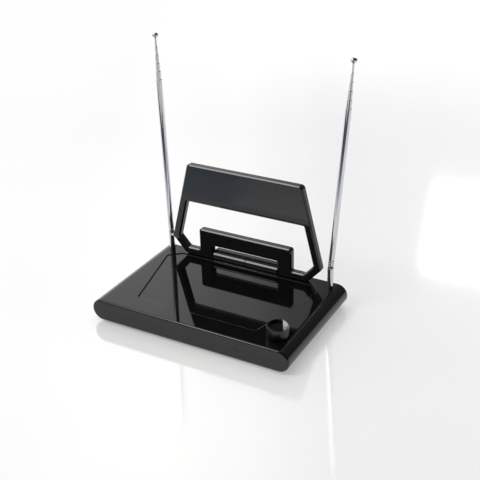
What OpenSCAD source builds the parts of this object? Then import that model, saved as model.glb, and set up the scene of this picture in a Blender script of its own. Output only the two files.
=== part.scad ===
// Indoor television antenna: a flat base, a fold-down UHF loop, two telescopic rods and a tuning knob.
// Origin: middle of the base, on the surface the rubber feet stand on. +X right, +Y back, +Z up.

/* [Base] */
// Width of the base, over its half-round ends
base_w = 230; // [190:1:280]
// Depth of the base, front to back
base_d = 144; // [120:1:175]
// Height of the two covers together
base_h = 24; // [22:0.5:29]
// Wall thickness of both covers
wall = 2.4; // [2:0.1:2.9]
// Rounding of the front and back rims
rim_r = 2; // [1:0.1:3]
// Open line left between the two covers
reveal = 0.3; // [0.2:0.05:0.6]
// Depth of the tray that the loop folds into
tray_depth = 1; // [0.6:0.1:1.2]
// Clearance of the tray round the folded loop
tray_gap = 1.2; // [1:0.1:3]
// From the front of the base to the tray
tray_front = 22.7; // [18:0.1:30]

/* [Feet] */
// Height that the rubber feet stand out below the base
foot_h = 2; // [1:0.1:4]
// Diameter of a foot
foot_d = 16; // [10:0.5:20]
// Distance of a foot from the side of the base
foot_side = 27; // [26:0.5:32]
// Distance of a foot from the front or back of the base
foot_end = 18; // [14:0.5:22]

/* [Loop] */
// Thickness of the loop frame, both shells together
loop_t = 8.6; // [8:0.1:10.4]
// Distance from the loop's widest corner to the side of the base
loop_side = 22.6; // [22:0.1:30]
// Shift of the loop to the left of the middle, clear of the knob
loop_shift = 2.4; // [0:0.1:4]
// Gap under the loop's bottom bar
loop_lift = 1.4; // [1:0.1:2]
// From the folded loop's far edge to the edge of the tray
loop_front_gap = 4.2; // [1:0.1:8]
// How much narrower each side is at the top edge
loop_flare = 23.6; // [15:0.1:30]
// Height of the widest corners above the base
loop_wide_v = 19.4; // [16:0.1:24]
// Sideways run of the slanted lower corners
loop_chamfer = 16; // [10:0.1:19]
// Bevel along every outer edge of the loop
loop_bevel = 1.5; // [0.8:0.1:1.8]
// Width of the loop's legs
leg_w = 8.8; // [8:0.1:10.6]
// Height of the solid top panel
panel_h = 44.3; // [36:0.1:53]
// Height of the bottom bar's upper edge above the base
bar_top = 9.7; // [9.2:0.1:11.6]
// Half width of the centre tab
tab_hw = 57.3; // [52:0.1:62]
// Height of the tab's upper edge above the base
tab_top = 35.9; // [30:0.1:42]
// Half width of the cut-out for the hinge
cut_hw = 40.5; // [34:0.1:46]
// Height of the cut-out above the base
cut_top = 17.7; // [15:0.1:21]

/* [Hinge] */
// Distance of the hinge line from the back of the base
hinge_back = 11.4; // [10:0.1:14]
// Height of the hinge line above the base top
hinge_v = 5; // [4.9:0.1:6]
// Radius of the hinge barrel
barrel_r = 4.3; // [3.6:0.1:4.6]
// Radius of the hinge pins
hinge_pin_r = 1.6; // [1.2:0.1:1.9]
// Depth of a hinge pin in the barrel, and in the loop
hinge_pin_in = 9; // [6:0.5:11]
// Depth of the flat saddle behind the barrel's middle
saddle_d = 7.6; // [5:0.1:8]
// Height of the saddle above the cover
saddle_h = 11.3; // [9:0.1:12.5]

/* [Rods] */
// Distance of a rod from the side of the base
rod_side = 16; // [15.5:0.1:18]
// Height of the tilt pivot above the base top
pivot_h = 22; // [18:0.5:26]
// Lean of a rod from upright, as it is set
rod_lean = 4.3; // [0:0.1:10]
// Direction of that lean, from straight sideways towards the back
rod_turn = 45; // [0:1:60]
// Outer radius of the largest tube
tube_r = 3.1; // [2.9:0.05:3.7]
// Drop in radius from one tube to the next
tube_step = 0.42; // [0.4:0.01:0.45]
// Running clearance between two tubes
tube_gap = 0.1; // [0.08:0.01:0.12]
// Top of the largest tube above the base top, along the rod
tube_top = 196; // [165:1:235]
// Length that each pushed-in tube stands out of the last
tube_show = 8.6; // [6:0.1:10]
// Radius of the button on the end of the rod
tip_r = 3.3; // [2.5:0.1:4]
// Height of that button
tip_h = 5.2; // [4:0.1:6.2]
// Radius of the upright fork that carries the rod
fork_r = 3.3; // [3:0.1:3.6]
// Radius of the stud under the fork
stud_r = 2.6; // [2.2:0.1:2.9]
// Width of the fork's slot
slot_w = 2.6; // [2.2:0.1:3]
// Radius of the tilt pin
tilt_pin_r = 1; // [0.8:0.05:1.2]

/* [Knob] */
// Radius of the knob
knob_r = 11.4; // [9.6:0.1:11.6]
// Height of the knob's top above the base top
knob_h = 12.5; // [10.5:0.1:15]
// Distance of the knob from the side of the base
knob_side = 23.5; // [23:0.1:26]
// Distance of the knob from the front of the base
knob_front = 24; // [20:0.1:28]
// Radius of the switch's shaft
shaft_r = 3; // [2.5:0.1:3.4]
// Number of grip grooves round the knob
flutes = 36; // [24:1:48]

/* [Hidden] */
$fn = 48;
eps = 0.01;
run_gap = 0.06;
side_gap = 0.3;
z_low = foot_h;
z_top = foot_h + base_h;
z_mid = foot_h + base_h / 2;
z_floor = z_low + wall;
z_roof = z_top - wall;
in_front = -base_d / 2 + wall;
in_back = base_d / 2 - wall;

// Loop, measured sideways from its own middle line and upwards from the base top
loop_x = -loop_shift;
hinge_y = base_d / 2 - hinge_back;
hinge_z = z_top + hinge_v;
tray_y = -base_d / 2 + tray_front;
loop_wide = base_w / 2 - loop_side;
loop_top_hw = loop_wide - loop_flare;
loop_low_hw = loop_wide - loop_chamfer;
loop_v = hinge_v + hinge_y - tray_y - loop_front_gap;
corner_r = 3;

// Knob and switch
knob_x = base_w / 2 - knob_side;
knob_y = -base_d / 2 + knob_front;
knob_turn = 28;
knob_base = z_top + 0.6;
dish_r = knob_r - 2.2;
board_t = 1.6;
board_z = z_floor + 2.6;
board_top = board_z + board_t;
switch_w = 15;
switch_top = board_top + 7;
bush_r = shaft_r + 1.3;
nut_t = 1.8;
led_x = base_w / 2 - 56;
led_w = 7;
led_h = 1.6;

// Screws between the covers
screw_r = 1.4;
screw_head_r = 2.8;
boss_r = 3.8;
boss_z = z_floor + 4.6;
front_boss_x = 36;
rear_boss_x = 44;
boss_in = 8;

// Sockets in the rear wall
coax_x = -58;
coax_r = 4.75;
coax_core = coax_r - 0.2;
coax_out = 9;
jack_nut_t = 2.2;
pocket_deep = 6;
pocket_hw = coax_r + 2.25;
pocket_hh = 6.8;
coax_wall = base_d / 2 - pocket_deep;
power_x = -77;

// Rod seats
rod_x = base_w / 2 - rod_side;
rod_y = hinge_y;
sleeve_r = stud_r + 1.6;
post_r = sleeve_r + 1.8;
sleeve_low = z_mid + 1;
tag_t = 0.6;
bush_top = z_top - 1;
clip_t = 1;
pivot_z = z_top + pivot_h;
socket_low = 4;
socket_len = 7;
plug_len = 8;
tube_wall = tube_step - tube_gap;
tube_bottom = socket_low + socket_len + plug_len + 1;

function tube_radius(i) = tube_r - i * tube_step;
function tube_end(i) = tube_top - pivot_h + i * tube_show;

// Outline of the loop, shrunk inwards by d, as three corners of its right half
side_k = loop_flare / (loop_v - loop_wide_v);
low_k = (loop_wide_v - loop_lift) / loop_chamfer;
side_off = sqrt(1 + side_k * side_k);
low_off = sqrt(1 + low_k * low_k);
function side_u(v, d) = loop_wide - side_k * (v - loop_wide_v) - d * side_off;
function low_u(v, d) = loop_low_hw + (v - loop_lift - d * low_off) / low_k;
function wide_v(d) = (loop_wide + side_k * loop_wide_v - d * side_off - loop_low_hw
    + (loop_lift + d * low_off) / low_k) / (side_k + 1 / low_k);
function half_outline(d) = [[side_u(loop_v - d, d), loop_v - d], [side_u(wide_v(d), d), wide_v(d)],
    [low_u(loop_lift + d, d), loop_lift + d]];

function mirrored(half) = concat(half, [for (i = [len(half) - 1:-1:0]) [-half[i][0], half[i][1]]]);

// ---- shapes used by several sub-parts ----

module round_rect(w, h, r) {
    square([w - 2 * r, h], center = true);
    square([w, h - 2 * r], center = true);
    for (x = [-1, 1], y = [-1, 1])
        translate([x * (w / 2 - r), y * (h / 2 - r)]) circle(r);
}

// Flat body with half-round sides and rounded front and back rims, centred
module slab(w, d, h, r) {
    rotate([90, 0, 90]) linear_extrude(w - h, center = true) round_rect(d, h, r);
    for (s = [-1, 1])
        translate([s * (w - h) / 2, 0, 0]) rotate([-90, 0, 0]) rotate_extrude()
            intersection() {
                round_rect(h, d, r);
                translate([0, -d]) square([h, 2 * d]);
            }
}

module outer_slab() {
    translate([0, 0, z_mid]) slab(base_w, base_d, base_h, rim_r);
}

module inner_slab(gap) {
    translate([0, 0, z_mid])
        slab(base_w - 2 * wall - 2 * gap, base_d - 2 * wall - 2 * gap, base_h - 2 * wall - 2 * gap, 0.6);
}

module layer(z1, z2) {
    translate([-base_w, -base_d, z1]) cube([2 * base_w, 2 * base_d, z2 - z1]);
}

module at_bosses() {
    for (s = [-1, 1]) {
        translate([s * front_boss_x, in_front + boss_in, 0]) children();
        translate([s * rear_boss_x, in_back - boss_in, 0]) children();
    }
}

module at_feet() {
    for (x = [-1, 1], y = [-1, 1])
        translate([x * (base_w / 2 - foot_side), y * (base_d / 2 - foot_end), 0]) children();
}

module at_rods() {
    for (s = [-1, 1]) translate([s * rod_x, rod_y, 0]) children();
}

module pipe(r, r_in, z1, z2) {
    difference() {
        translate([0, 0, z1]) cylinder(r = r, h = z2 - z1);
        translate([0, 0, z1 - 1]) cylinder(r = r_in, h = z2 - z1 + 2);
    }
}

// Pocket in the rear wall that the coaxial socket stands in, grown by g
module pocket(g) {
    translate([coax_x - pocket_hw - g, coax_wall - g, z_mid - pocket_hh - g])
        cube([2 * (pocket_hw + g), pocket_deep + g + 1, 2 * (pocket_hh + g)]);
}

// Openings that pass the wall at the joint of the two covers
module wall_openings() {
    pocket(0);
    translate([coax_x, coax_wall + 1, z_mid]) rotate([90, 0, 0]) cylinder(r = coax_core, h = wall + 2);
    translate([power_x - 4.5, in_back - 1, z_mid - 4]) cube([9, wall + 2, 8]);
    translate([led_x - led_w / 2, -base_d / 2 - 1, z_mid - led_h / 2]) cube([led_w, wall + 2, led_h]);
}

// Room for the sockets and the lamp in the tongue behind the walls
module tongue_openings() {
    for (o = [[coax_x, 1, pocket_hw + wall + side_gap], [power_x, 1, 5], [led_x, -1, led_w / 2 + 0.5]])
        translate([o[0] - o[2], o[1] * in_back - 4, z_mid - 5]) cube([2 * o[2], 8, 10]);
}

// ---- base ----

module tray() {
    flare = 0.7;
    corners = [[loop_top_hw + tray_gap, tray_y], [loop_wide + tray_gap, hinge_y + hinge_v - loop_wide_v - 1],
        [loop_low_hw + tray_gap + 2, hinge_y - loop_t / 2]];
    translate([loop_x, 0, z_top]) hull() {
        for (c = corners, s = [-1, 1]) {
            y_in = c[1] > hinge_y / 2 ? -corner_r : c[1] < 0 ? corner_r : 0;
            translate([s * (c[0] - corner_r), c[1] + y_in, -tray_depth]) cylinder(r = corner_r, h = eps, $fn = 32);
            translate([s * (c[0] - corner_r), c[1] + y_in, 0]) cylinder(r = corner_r + flare, h = 1, $fn = 32);
        }
    }
}

module top_cover() color([0.03, 0.03, 0.035]) {
    difference() {
        union() {
            difference() {
                intersection() {
                    outer_slab();
                    layer(z_mid + reveal / 2, z_top + 1);
                }
                inner_slab(0);
            }
            intersection() {
                outer_slab();
                pocket(wall);
                layer(z_mid + reveal / 2, z_top + 1);
            }
            at_bosses() pipe(boss_r, screw_r, boss_z, z_roof + eps);
            at_rods() pipe(post_r, sleeve_r, sleeve_low, z_roof + eps);
        }
        tray();
        wall_openings();
        at_rods() translate([0, 0, sleeve_low - 1]) {
            cylinder(r = sleeve_r, h = bush_top - sleeve_low + 1);
            cylinder(r = stud_r + side_gap, h = base_h);
        }
        translate([knob_x, knob_y, z_mid]) cylinder(r = bush_r, h = base_h);
        for (s = [-1, 1]) translate([loop_x + s * cut_hw / 1.5, hinge_y, z_mid]) cylinder(r = screw_r, h = base_h);
    }
}

module bottom_cover() color([0.04, 0.04, 0.045]) {
    tongue = 1.2;
    tongue_h = 3;
    difference() {
        union() {
            difference() {
                intersection() {
                    outer_slab();
                    layer(z_low - 1, z_mid - reveal / 2);
                }
                inner_slab(0);
            }
            intersection() {
                outer_slab();
                pocket(wall);
                layer(z_low - 1, z_mid - reveal / 2);
            }
            difference() {
                union() {
                    intersection() {
                        inner_slab(-0.1);
                        layer(z_mid - tongue_h, z_mid - reveal / 2);
                    }
                    intersection() {
                        inner_slab(run_gap);
                        layer(z_mid - tongue_h, z_mid + tongue_h);
                    }
                }
                inner_slab(tongue);
                tongue_openings();
            }
            at_bosses() translate([0, 0, z_floor - eps]) cylinder(r = boss_r + 1, h = boss_z - z_floor + eps);
            for (x = [-1, 1], y = [-1, 1])
                translate([knob_x - 16 + x * 20, knob_y + y * 12, z_floor - eps]) cylinder(r = 2.4, h = board_z - z_floor + eps);
        }
        wall_openings();
        at_bosses() {
            translate([0, 0, z_low - 1]) cylinder(r = screw_r + 0.3, h = base_h / 2);
            translate([0, 0, z_low - 1]) cylinder(r = screw_head_r + 0.4, h = 3.6);
        }
        at_feet() translate([0, 0, z_low - 1]) cylinder(d = foot_d, h = 2);
    }
}

module rubber_feet() color([0.1, 0.1, 0.1]) {
    at_feet() {
        translate([0, 0, 0.5]) cylinder(d = foot_d, h = foot_h + 0.5);
        cylinder(d1 = foot_d - 1, d2 = foot_d, h = 0.5);
    }
}

module cover_screws() color([0.6, 0.6, 0.62]) {
    at_bosses() difference() {
        union() {
            translate([0, 0, z_low + 0.6]) cylinder(r = screw_head_r, h = 2);
            translate([0, 0, z_low + 2]) cylinder(r = screw_r, h = 13);
        }
        for (a = [0, 90]) rotate([0, 0, a]) translate([-1.6, -0.35, z_low]) cube([3.2, 0.7, 1.6]);
    }
}

module ballast_plate() color([0.5, 0.5, 0.52]) {
    difference() {
        translate([-78, -36, z_floor]) cube([110, 76, 3]);
        for (x = [-68, 22], y = [-26, 30]) translate([x, y, z_low]) cylinder(r = 2.5, h = 10);
    }
}

module circuit_board() color([0.1, 0.35, 0.2]) {
    difference() {
        translate([led_x - 7, in_front + 4, board_z]) cube([knob_x + switch_w / 2 + 3 - led_x + 7, 38, board_t]);
        translate([led_x - 2, in_front + 38, board_z - 1]) cylinder(r = 1.5, h = 4);
    }
}

module balun_ring() color([0.25, 0.25, 0.27]) {
    translate([led_x + 4, knob_y + 10, board_top]) rotate_extrude() translate([3.6, 1.6]) circle(1.6);
}

module rotary_switch() color([0.75, 0.75, 0.78]) {
    translate([knob_x, knob_y, 0]) difference() {
        union() {
            translate([-switch_w / 2, -switch_w / 2, board_top]) cube([switch_w, switch_w, switch_top - board_top]);
            translate([0, 0, switch_top - eps]) cylinder(r = bush_r, h = z_top - switch_top);
        }
        translate([0, 0, board_top + 2]) cylinder(r = shaft_r + run_gap, h = base_h);
    }
}

module switch_nut() color([0.7, 0.7, 0.72]) {
    translate([knob_x, knob_y, z_roof - nut_t]) difference() {
        cylinder(r = bush_r + 2.2, h = nut_t, $fn = 6);
        translate([0, 0, -1]) cylinder(r = bush_r, h = nut_t + 2);
    }
}

module indicator_led() color([0.8, 0.85, 0.8]) {
    led_deep = 4;
    translate([led_x - 2, in_front + 1, board_top - eps]) cube([4, led_deep, z_mid + 1.5 - board_top]);
}

module indicator_lens() color([0.3, 0.35, 0.4]) {
    translate([led_x - led_w / 2, -base_d / 2 + 0.3, z_mid - led_h / 2]) cube([led_w, wall + 0.7, led_h]);
}

module coax_jack() color([0.8, 0.78, 0.7]) {
    translate([coax_x, coax_wall - wall, z_mid]) rotate([-90, 0, 0]) {
        difference() {
            union() {
                translate([0, 0, -1.6]) cylinder(r = coax_r + 1.6, h = 1.6, $fn = 6);
                translate([0, 0, -10]) cylinder(r = coax_r - 0.8, h = 9);
                translate([0, 0, -eps]) cylinder(r = coax_core, h = wall + jack_nut_t + 0.1);
                translate([0, 0, wall + jack_nut_t]) cylinder(r = coax_r, h = coax_out - jack_nut_t);
            }
            translate([0, 0, 3]) pipe(3.6, 2.2, 0, wall + coax_out);
            translate([0, 0, 3]) cylinder(r = 0.6, h = 20);
        }
    }
}

module jack_nut() color([0.8, 0.78, 0.7]) {
    translate([coax_x, coax_wall, z_mid]) rotate([-90, 0, 0]) difference() {
        cylinder(r = coax_r + 1.8, h = jack_nut_t, $fn = 6);
        translate([0, 0, -1]) cylinder(r = coax_core, h = 5);
    }
}

module power_jack() color([0.08, 0.08, 0.08]) {
    translate([power_x, 0, z_mid]) difference() {
        translate([-4.5, in_back - 9, -4]) cube([9, 9 + wall - 0.4, 8]);
        translate([0, base_d / 2 + 1, 0]) rotate([90, 0, 0]) difference() {
            cylinder(r = 2.8, h = 9);
            translate([0, 0, 2.4]) cylinder(r = 0.65, h = 9);
        }
    }
}

// One insulated lead, straight between the listed points
module lead(points, r) {
    for (i = [1:len(points) - 1]) {
        hull() {
            translate(points[i - 1]) sphere(r, $fn = 10);
            translate(points[i]) sphere(r, $fn = 10);
        }
    }
}

module inner_leads() color([0.7, 0.1, 0.1]) {
    lead_r = 0.8;
    tag_z = sleeve_low - tag_t - lead_r;
    run_z = board_top + 1.6;
    tag_x = rod_x - sleeve_r - 1;
    land_x = led_x + 4;
    land_y = in_front + 38;
    land_z = board_top + lead_r;
    lead([[-tag_x, rod_y, tag_z], [6 - tag_x, rod_y - 8, run_z], [-50, 46, run_z], [led_x - 10, 46, run_z],
        [land_x, land_y, land_z]], lead_r);
    lead([[tag_x, rod_y, tag_z], [tag_x - 6, rod_y - 8, run_z], [land_x + 10, land_y + 10, run_z],
        [land_x + 8, land_y, land_z]], lead_r);
    lead([[coax_x, coax_wall - wall - 10 - lead_r, z_mid], [coax_x + 4, in_back - 24, run_z + 2], [led_x - 24, 38, run_z],
        [land_x - 8, land_y, land_z]], lead_r);
}

module solder_tags() color([0.8, 0.7, 0.4]) {
    at_rods() pipe(post_r, sleeve_r, sleeve_low - tag_t, sleeve_low);
}

module swivel_bushes() color([0.75, 0.62, 0.35]) {
    at_rods() pipe(sleeve_r, stud_r + run_gap, sleeve_low - tag_t, bush_top);
}

// ---- hinge and loop ----

module hinge_block() color([0.03, 0.03, 0.035]) {
    block_hw = cut_hw - 0.5;
    difference() {
        union() {
            translate([loop_x - block_hw, hinge_y, hinge_z]) rotate([0, 90, 0]) cylinder(r = barrel_r, h = 2 * block_hw);
            translate([loop_x - block_hw, hinge_y - barrel_r * 0.8, z_top])
                cube([2 * block_hw, 2 * barrel_r * 0.8, hinge_v]);
            translate([loop_x - block_hw, hinge_y + hinge_pin_r, z_top])
                cube([2 * block_hw, saddle_d - hinge_pin_r, saddle_h]);
        }
        for (s = [-1, 1]) {
            translate([loop_x + s * (block_hw - hinge_pin_in / 2 + 1), hinge_y, hinge_z]) rotate([0, 90, 0])
                cylinder(r = hinge_pin_r + run_gap, h = hinge_pin_in + 2, center = true);
            translate([loop_x + s * cut_hw / 1.5, hinge_y, z_top - 1]) cylinder(r = screw_r, h = hinge_v + 1);
        }
    }
}

module hinge_screws() color([0.6, 0.6, 0.62]) {
    for (s = [-1, 1]) translate([loop_x + s * cut_hw / 1.5, hinge_y, 0]) difference() {
        union() {
            translate([0, 0, z_roof - 1.8]) cylinder(r = screw_head_r, h = 1.8);
            translate([0, 0, z_roof - 1]) cylinder(r = screw_r, h = wall + hinge_v - 0.5);
        }
        for (a = [0, 90]) rotate([0, 0, a]) translate([-1.6, -0.35, z_roof - 3]) cube([3.2, 0.7, 2]);
    }
}

// Puts a flat loop shape, drawn in X and Y with its back at Z = 0, upright on the base
module stand_loop() {
    translate([loop_x, hinge_y + loop_t / 2, z_top]) rotate([90, 0, 0]) children();
}

// Rounded hexagon of the loop's outline, shrunk by d
module loop_outline(d) {
    r = corner_r - min(d, corner_r - 0.5);
    half = half_outline(d + r);
    hull() for (p = half, s = [-1, 1]) translate([s * p[0], p[1]]) circle(r = r, $fn = 32);
}

// Opening between the legs, grown by d
module window_outline(d) {
    r = 2;
    inner = half_outline(leg_w + r - d);
    top_v = loop_v - panel_h + d - r;
    low_v = bar_top - d + r;
    hull() for (s = [-1, 1]) {
        translate([s * side_u(top_v, leg_w + r - d), top_v]) circle(r = r, $fn = 32);
        translate([s * inner[1][0], inner[1][1]]) circle(r = r, $fn = 32);
        translate([s * low_u(low_v, leg_w * 1.02 + r - d), low_v]) circle(r = r, $fn = 32);
    }
}

// Three stacked sheets whose outer ones are drawn at their bevelled size
module loop_blank() {
    c = loop_bevel;
    difference() {
        hull() {
            linear_extrude(loop_t) loop_outline(c);
            translate([0, 0, c]) linear_extrude(loop_t - 2 * c) loop_outline(0);
        }
        translate([0, 0, -1]) linear_extrude(loop_t + 2) window_outline(0);
        hull() {
            translate([0, 0, -eps]) linear_extrude(eps) window_outline(c);
            translate([0, 0, c]) linear_extrude(eps) window_outline(0);
        }
        hull() {
            translate([0, 0, loop_t]) linear_extrude(eps) window_outline(c);
            translate([0, 0, loop_t - c]) linear_extrude(eps) window_outline(0);
        }
    }
}

module tab() {
    c = loop_bevel;
    r = 3.5;
    hull() {
        for (s = [-1, 1]) {
            translate([s * (tab_hw - r), tab_top - r, c]) cylinder(r = r, h = loop_t - 2 * c, $fn = 32);
            translate([s * (tab_hw - r), tab_top - r, 0]) cylinder(r = r - c, h = loop_t, $fn = 32);
        }
        translate([-tab_hw, bar_top - 3, c]) cube([2 * tab_hw, 1, loop_t - 2 * c]);
        translate([c - tab_hw, bar_top - 3, 0]) cube([2 * (tab_hw - c), 1, loop_t]);
    }
}

// Flat strip that follows the legs and the top edge, open at the hinge
module conductor_path(grow) {
    strip_in = 3.2;
    strip_w = 2.4;
    open_hw = cut_hw + hinge_pin_in;
    difference() {
        polygon(mirrored(half_outline(strip_in - grow)));
        polygon(mirrored(half_outline(strip_in + strip_w + grow)));
        translate([-open_hw + grow, -1]) square([2 * (open_hw - grow), bar_top + 2]);
    }
}

// One half of the loop frame, between two heights of its thickness
module loop_shell(w1, w2) {
    difference() {
        intersection() {
            union() {
                loop_blank();
                tab();
            }
            translate([-base_w, -1, w1]) cube([2 * base_w, 2 * loop_v, w2 - w1]);
        }
        translate([-cut_hw, -1, -1]) cube([2 * cut_hw, cut_top + 1, loop_t + 2]);
        translate([0, 0, loop_t / 2 - 0.55]) linear_extrude(1.1) conductor_path(0.1);
        for (s = [-1, 1]) translate([s * (cut_hw + hinge_pin_in / 2 - 0.5), hinge_v, loop_t / 2])
            rotate([0, 90, 0]) cylinder(r = hinge_pin_r, h = hinge_pin_in + 1, center = true);
    }
}

module loop_front() color([0.03, 0.03, 0.035]) {
    stand_loop() loop_shell(loop_t / 2, loop_t + 1);
}

module loop_rear() color([0.03, 0.03, 0.035]) {
    stand_loop() loop_shell(-1, loop_t / 2);
}

module loop_conductor() color([0.8, 0.5, 0.3]) {
    stand_loop() translate([0, 0, loop_t / 2 - 0.5]) linear_extrude(1) conductor_path(0);
}

module hinge_pins() color([0.75, 0.75, 0.78]) {
    for (s = [-1, 1]) translate([loop_x + s * cut_hw, hinge_y, hinge_z]) rotate([0, 90, 0])
        cylinder(r = hinge_pin_r, h = 2 * hinge_pin_in, center = true);
}

// ---- knob ----

module switch_shaft() color([0.75, 0.75, 0.78]) {
    translate([knob_x, knob_y, board_top + 2.5]) cylinder(r = shaft_r, h = z_top + knob_h - 4 - board_top - 2.5);
}

module knob() color([0.05, 0.05, 0.055]) {
    groove_r = 0.55;
    top = z_top + knob_h;
    translate([knob_x, knob_y, 0]) rotate([0, 0, knob_turn]) difference() {
        union() {
            translate([0, 0, knob_base]) cylinder(r = knob_r, h = top - 0.8 - knob_base, $fn = 96);
            translate([0, 0, top - 0.8 - eps]) cylinder(r1 = knob_r, r2 = knob_r - 0.8, h = 0.8 + eps, $fn = 96);
        }
        translate([0, 0, knob_base - 1]) cylinder(r = shaft_r, h = top - 4 - knob_base + 1);
        translate([0, 0, top - 2.6]) intersection() {
            cylinder(r = dish_r, h = 4, $fn = 96);
            translate([-2 * dish_r, -dish_r, 0]) cube([2.4 * dish_r, 2 * dish_r, 5]);
        }
        translate([dish_r * 0.55, -knob_r, top]) rotate([0, 24, 0]) cube([2 * knob_r, 2 * knob_r, knob_r]);
        for (i = [0:flutes - 1]) rotate([0, 0, (i + 0.5) * 360 / flutes])
            translate([knob_r + groove_r * 0.4, 0, knob_base - 1]) cylinder(r = groove_r, h = knob_h, $fn = 16);
    }
}

// ---- telescopic rods; s is -1 for the left one and 1 for the right one ----

// Places a shape at a rod's pivot, upright, turned so that +X is the way the rod leans
module at_pivot(s) {
    translate([s * rod_x, rod_y, pivot_z]) rotate([0, 0, s > 0 ? rod_turn : 180 - rod_turn]) children();
}

// Places a shape along the leaning rod, measured from its pivot
module on_rod(s) {
    at_pivot(s) rotate([0, rod_lean, 0]) children();
}

module fork(s) color([0.8, 0.8, 0.82]) {
    shoulder = z_top + side_gap - pivot_z;
    stud_low = sleeve_low - tag_t - 2.4 - pivot_z;
    at_pivot(s) difference() {
        union() {
            translate([0, 0, shoulder]) cylinder(r = fork_r, h = -shoulder);
            intersection() {
                cylinder(r = fork_r, h = fork_r);
                rotate([90, 0, 0]) cylinder(r = fork_r, h = 3 * fork_r, center = true);
            }
            translate([0, 0, stud_low]) cylinder(r = stud_r, h = shoulder - stud_low + eps);
        }
        translate([-2 * fork_r, -slot_w / 2, -socket_low]) cube([4 * fork_r, slot_w, 4 * socket_low]);
        rotate([90, 0, 0]) cylinder(r = tilt_pin_r, h = 3 * fork_r, center = true);
    }
}

// Ring that keeps the stud in its bush, pressed on from below
module clip(s) color([0.6, 0.6, 0.62]) {
    translate([s * rod_x, rod_y, 0])
        pipe(sleeve_r, stud_r, sleeve_low - tag_t - side_gap - clip_t, sleeve_low - tag_t - side_gap);
}

module tilt_pin(s) color([0.7, 0.7, 0.72]) {
    at_pivot(s) rotate([90, 0, 0]) cylinder(r = tilt_pin_r, h = 2 * fork_r - 0.2, center = true);
}

// Flat tongue in the fork, ringed collar and the plug that the largest tube is pressed on
module socket(s) color([0.8, 0.8, 0.82]) {
    tongue_w = slot_w - 2 * side_gap;
    collar_r = tube_r + 0.1;
    ring_r = tube_r - 0.5;
    on_rod(s) difference() {
        union() {
            rotate([90, 0, 0]) cylinder(r = socket_low - 1.2, h = tongue_w, center = true);
            translate([1.2 - socket_low, -tongue_w / 2, 0]) cube([2 * socket_low - 2.4, tongue_w, socket_low + eps]);
            translate([0, 0, socket_low]) cylinder(r = collar_r, h = socket_len);
            translate([0, 0, socket_low + socket_len - eps]) cylinder(r = tube_r - tube_wall, h = plug_len);
        }
        for (h = [0.8, 3.4, 6]) translate([0, 0, socket_low + h]) pipe(2 * tube_r, ring_r, 0, 0.7);
        rotate([90, 0, 0]) cylinder(r = tilt_pin_r + run_gap, h = 3 * fork_r, center = true);
    }
}

// Tube number i of a rod, from 0 for the largest; its upper end is turned in a little
module tube(s, i) color([0.85, 0.85, 0.87]) {
    r = tube_radius(i);
    r_in = r - tube_wall;
    low = i == 0 ? socket_low + socket_len : tube_bottom + i;
    lip = 0.2;
    on_rod(s) rotate_extrude()
        polygon([[r_in, low], [r, low], [r, tube_end(i) - 2 * lip], [r - lip, tube_end(i)], [r_in, tube_end(i)]]);
}

module last_rod(s) color([0.85, 0.85, 0.87]) {
    on_rod(s) translate([0, 0, tube_bottom + 5]) cylinder(r = tube_radius(5), h = tube_end(5) - tube_bottom - 5);
}

// Mushroom button on the end of the last rod
module tip(s) color([0.85, 0.85, 0.87]) {
    low = tube_end(5);
    neck_r = tube_radius(5) + 0.6;
    dome = 1.6;
    on_rod(s) translate([0, 0, low]) {
        cylinder(r1 = neck_r, r2 = tip_r, h = tip_h - 2 * dome);
        translate([0, 0, tip_h - 2 * dome - eps]) cylinder(r = tip_r, h = dome + eps);
        translate([0, 0, tip_h - dome]) rotate_extrude() intersection() {
            translate([tip_r - dome, 0]) circle(dome);
            square([tip_r + 1, dome + 1]);
        }
        translate([0, 0, tip_h - dome - eps]) cylinder(r = tip_r - dome + eps, h = dome + eps);
    }
}

module left_fork() { fork(-1); }
module left_clip() { clip(-1); }
module left_tilt_pin() { tilt_pin(-1); }
module left_socket() { socket(-1); }
module left_tube_1() { tube(-1, 0); }
module left_tube_2() { tube(-1, 1); }
module left_tube_3() { tube(-1, 2); }
module left_tube_4() { tube(-1, 3); }
module left_tube_5() { tube(-1, 4); }
module left_rod_6() { last_rod(-1); }
module left_tip() { tip(-1); }
module right_fork() { fork(1); }
module right_clip() { clip(1); }
module right_tilt_pin() { tilt_pin(1); }
module right_socket() { socket(1); }
module right_tube_1() { tube(1, 0); }
module right_tube_2() { tube(1, 1); }
module right_tube_3() { tube(1, 2); }
module right_tube_4() { tube(1, 3); }
module right_tube_5() { tube(1, 4); }
module right_rod_6() { last_rod(1); }
module right_tip() { tip(1); }

top_cover();
bottom_cover();
rubber_feet();
cover_screws();
ballast_plate();
circuit_board();
balun_ring();
rotary_switch();
switch_nut();
indicator_led();
indicator_lens();
coax_jack();
jack_nut();
power_jack();
inner_leads();
solder_tags();
swivel_bushes();
hinge_block();
hinge_screws();
loop_front();
loop_rear();
loop_conductor();
hinge_pins();
switch_shaft();
knob();
left_fork();
left_clip();
left_tilt_pin();
left_socket();
left_tube_1();
left_tube_2();
left_tube_3();
left_tube_4();
left_tube_5();
left_rod_6();
left_tip();
right_fork();
right_clip();
right_tilt_pin();
right_socket();
right_tube_1();
right_tube_2();
right_tube_3();
right_tube_4();
right_tube_5();
right_rod_6();
right_tip();
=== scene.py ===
import math

import bmesh
import bpy
from mathutils import Matrix, Vector


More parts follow.
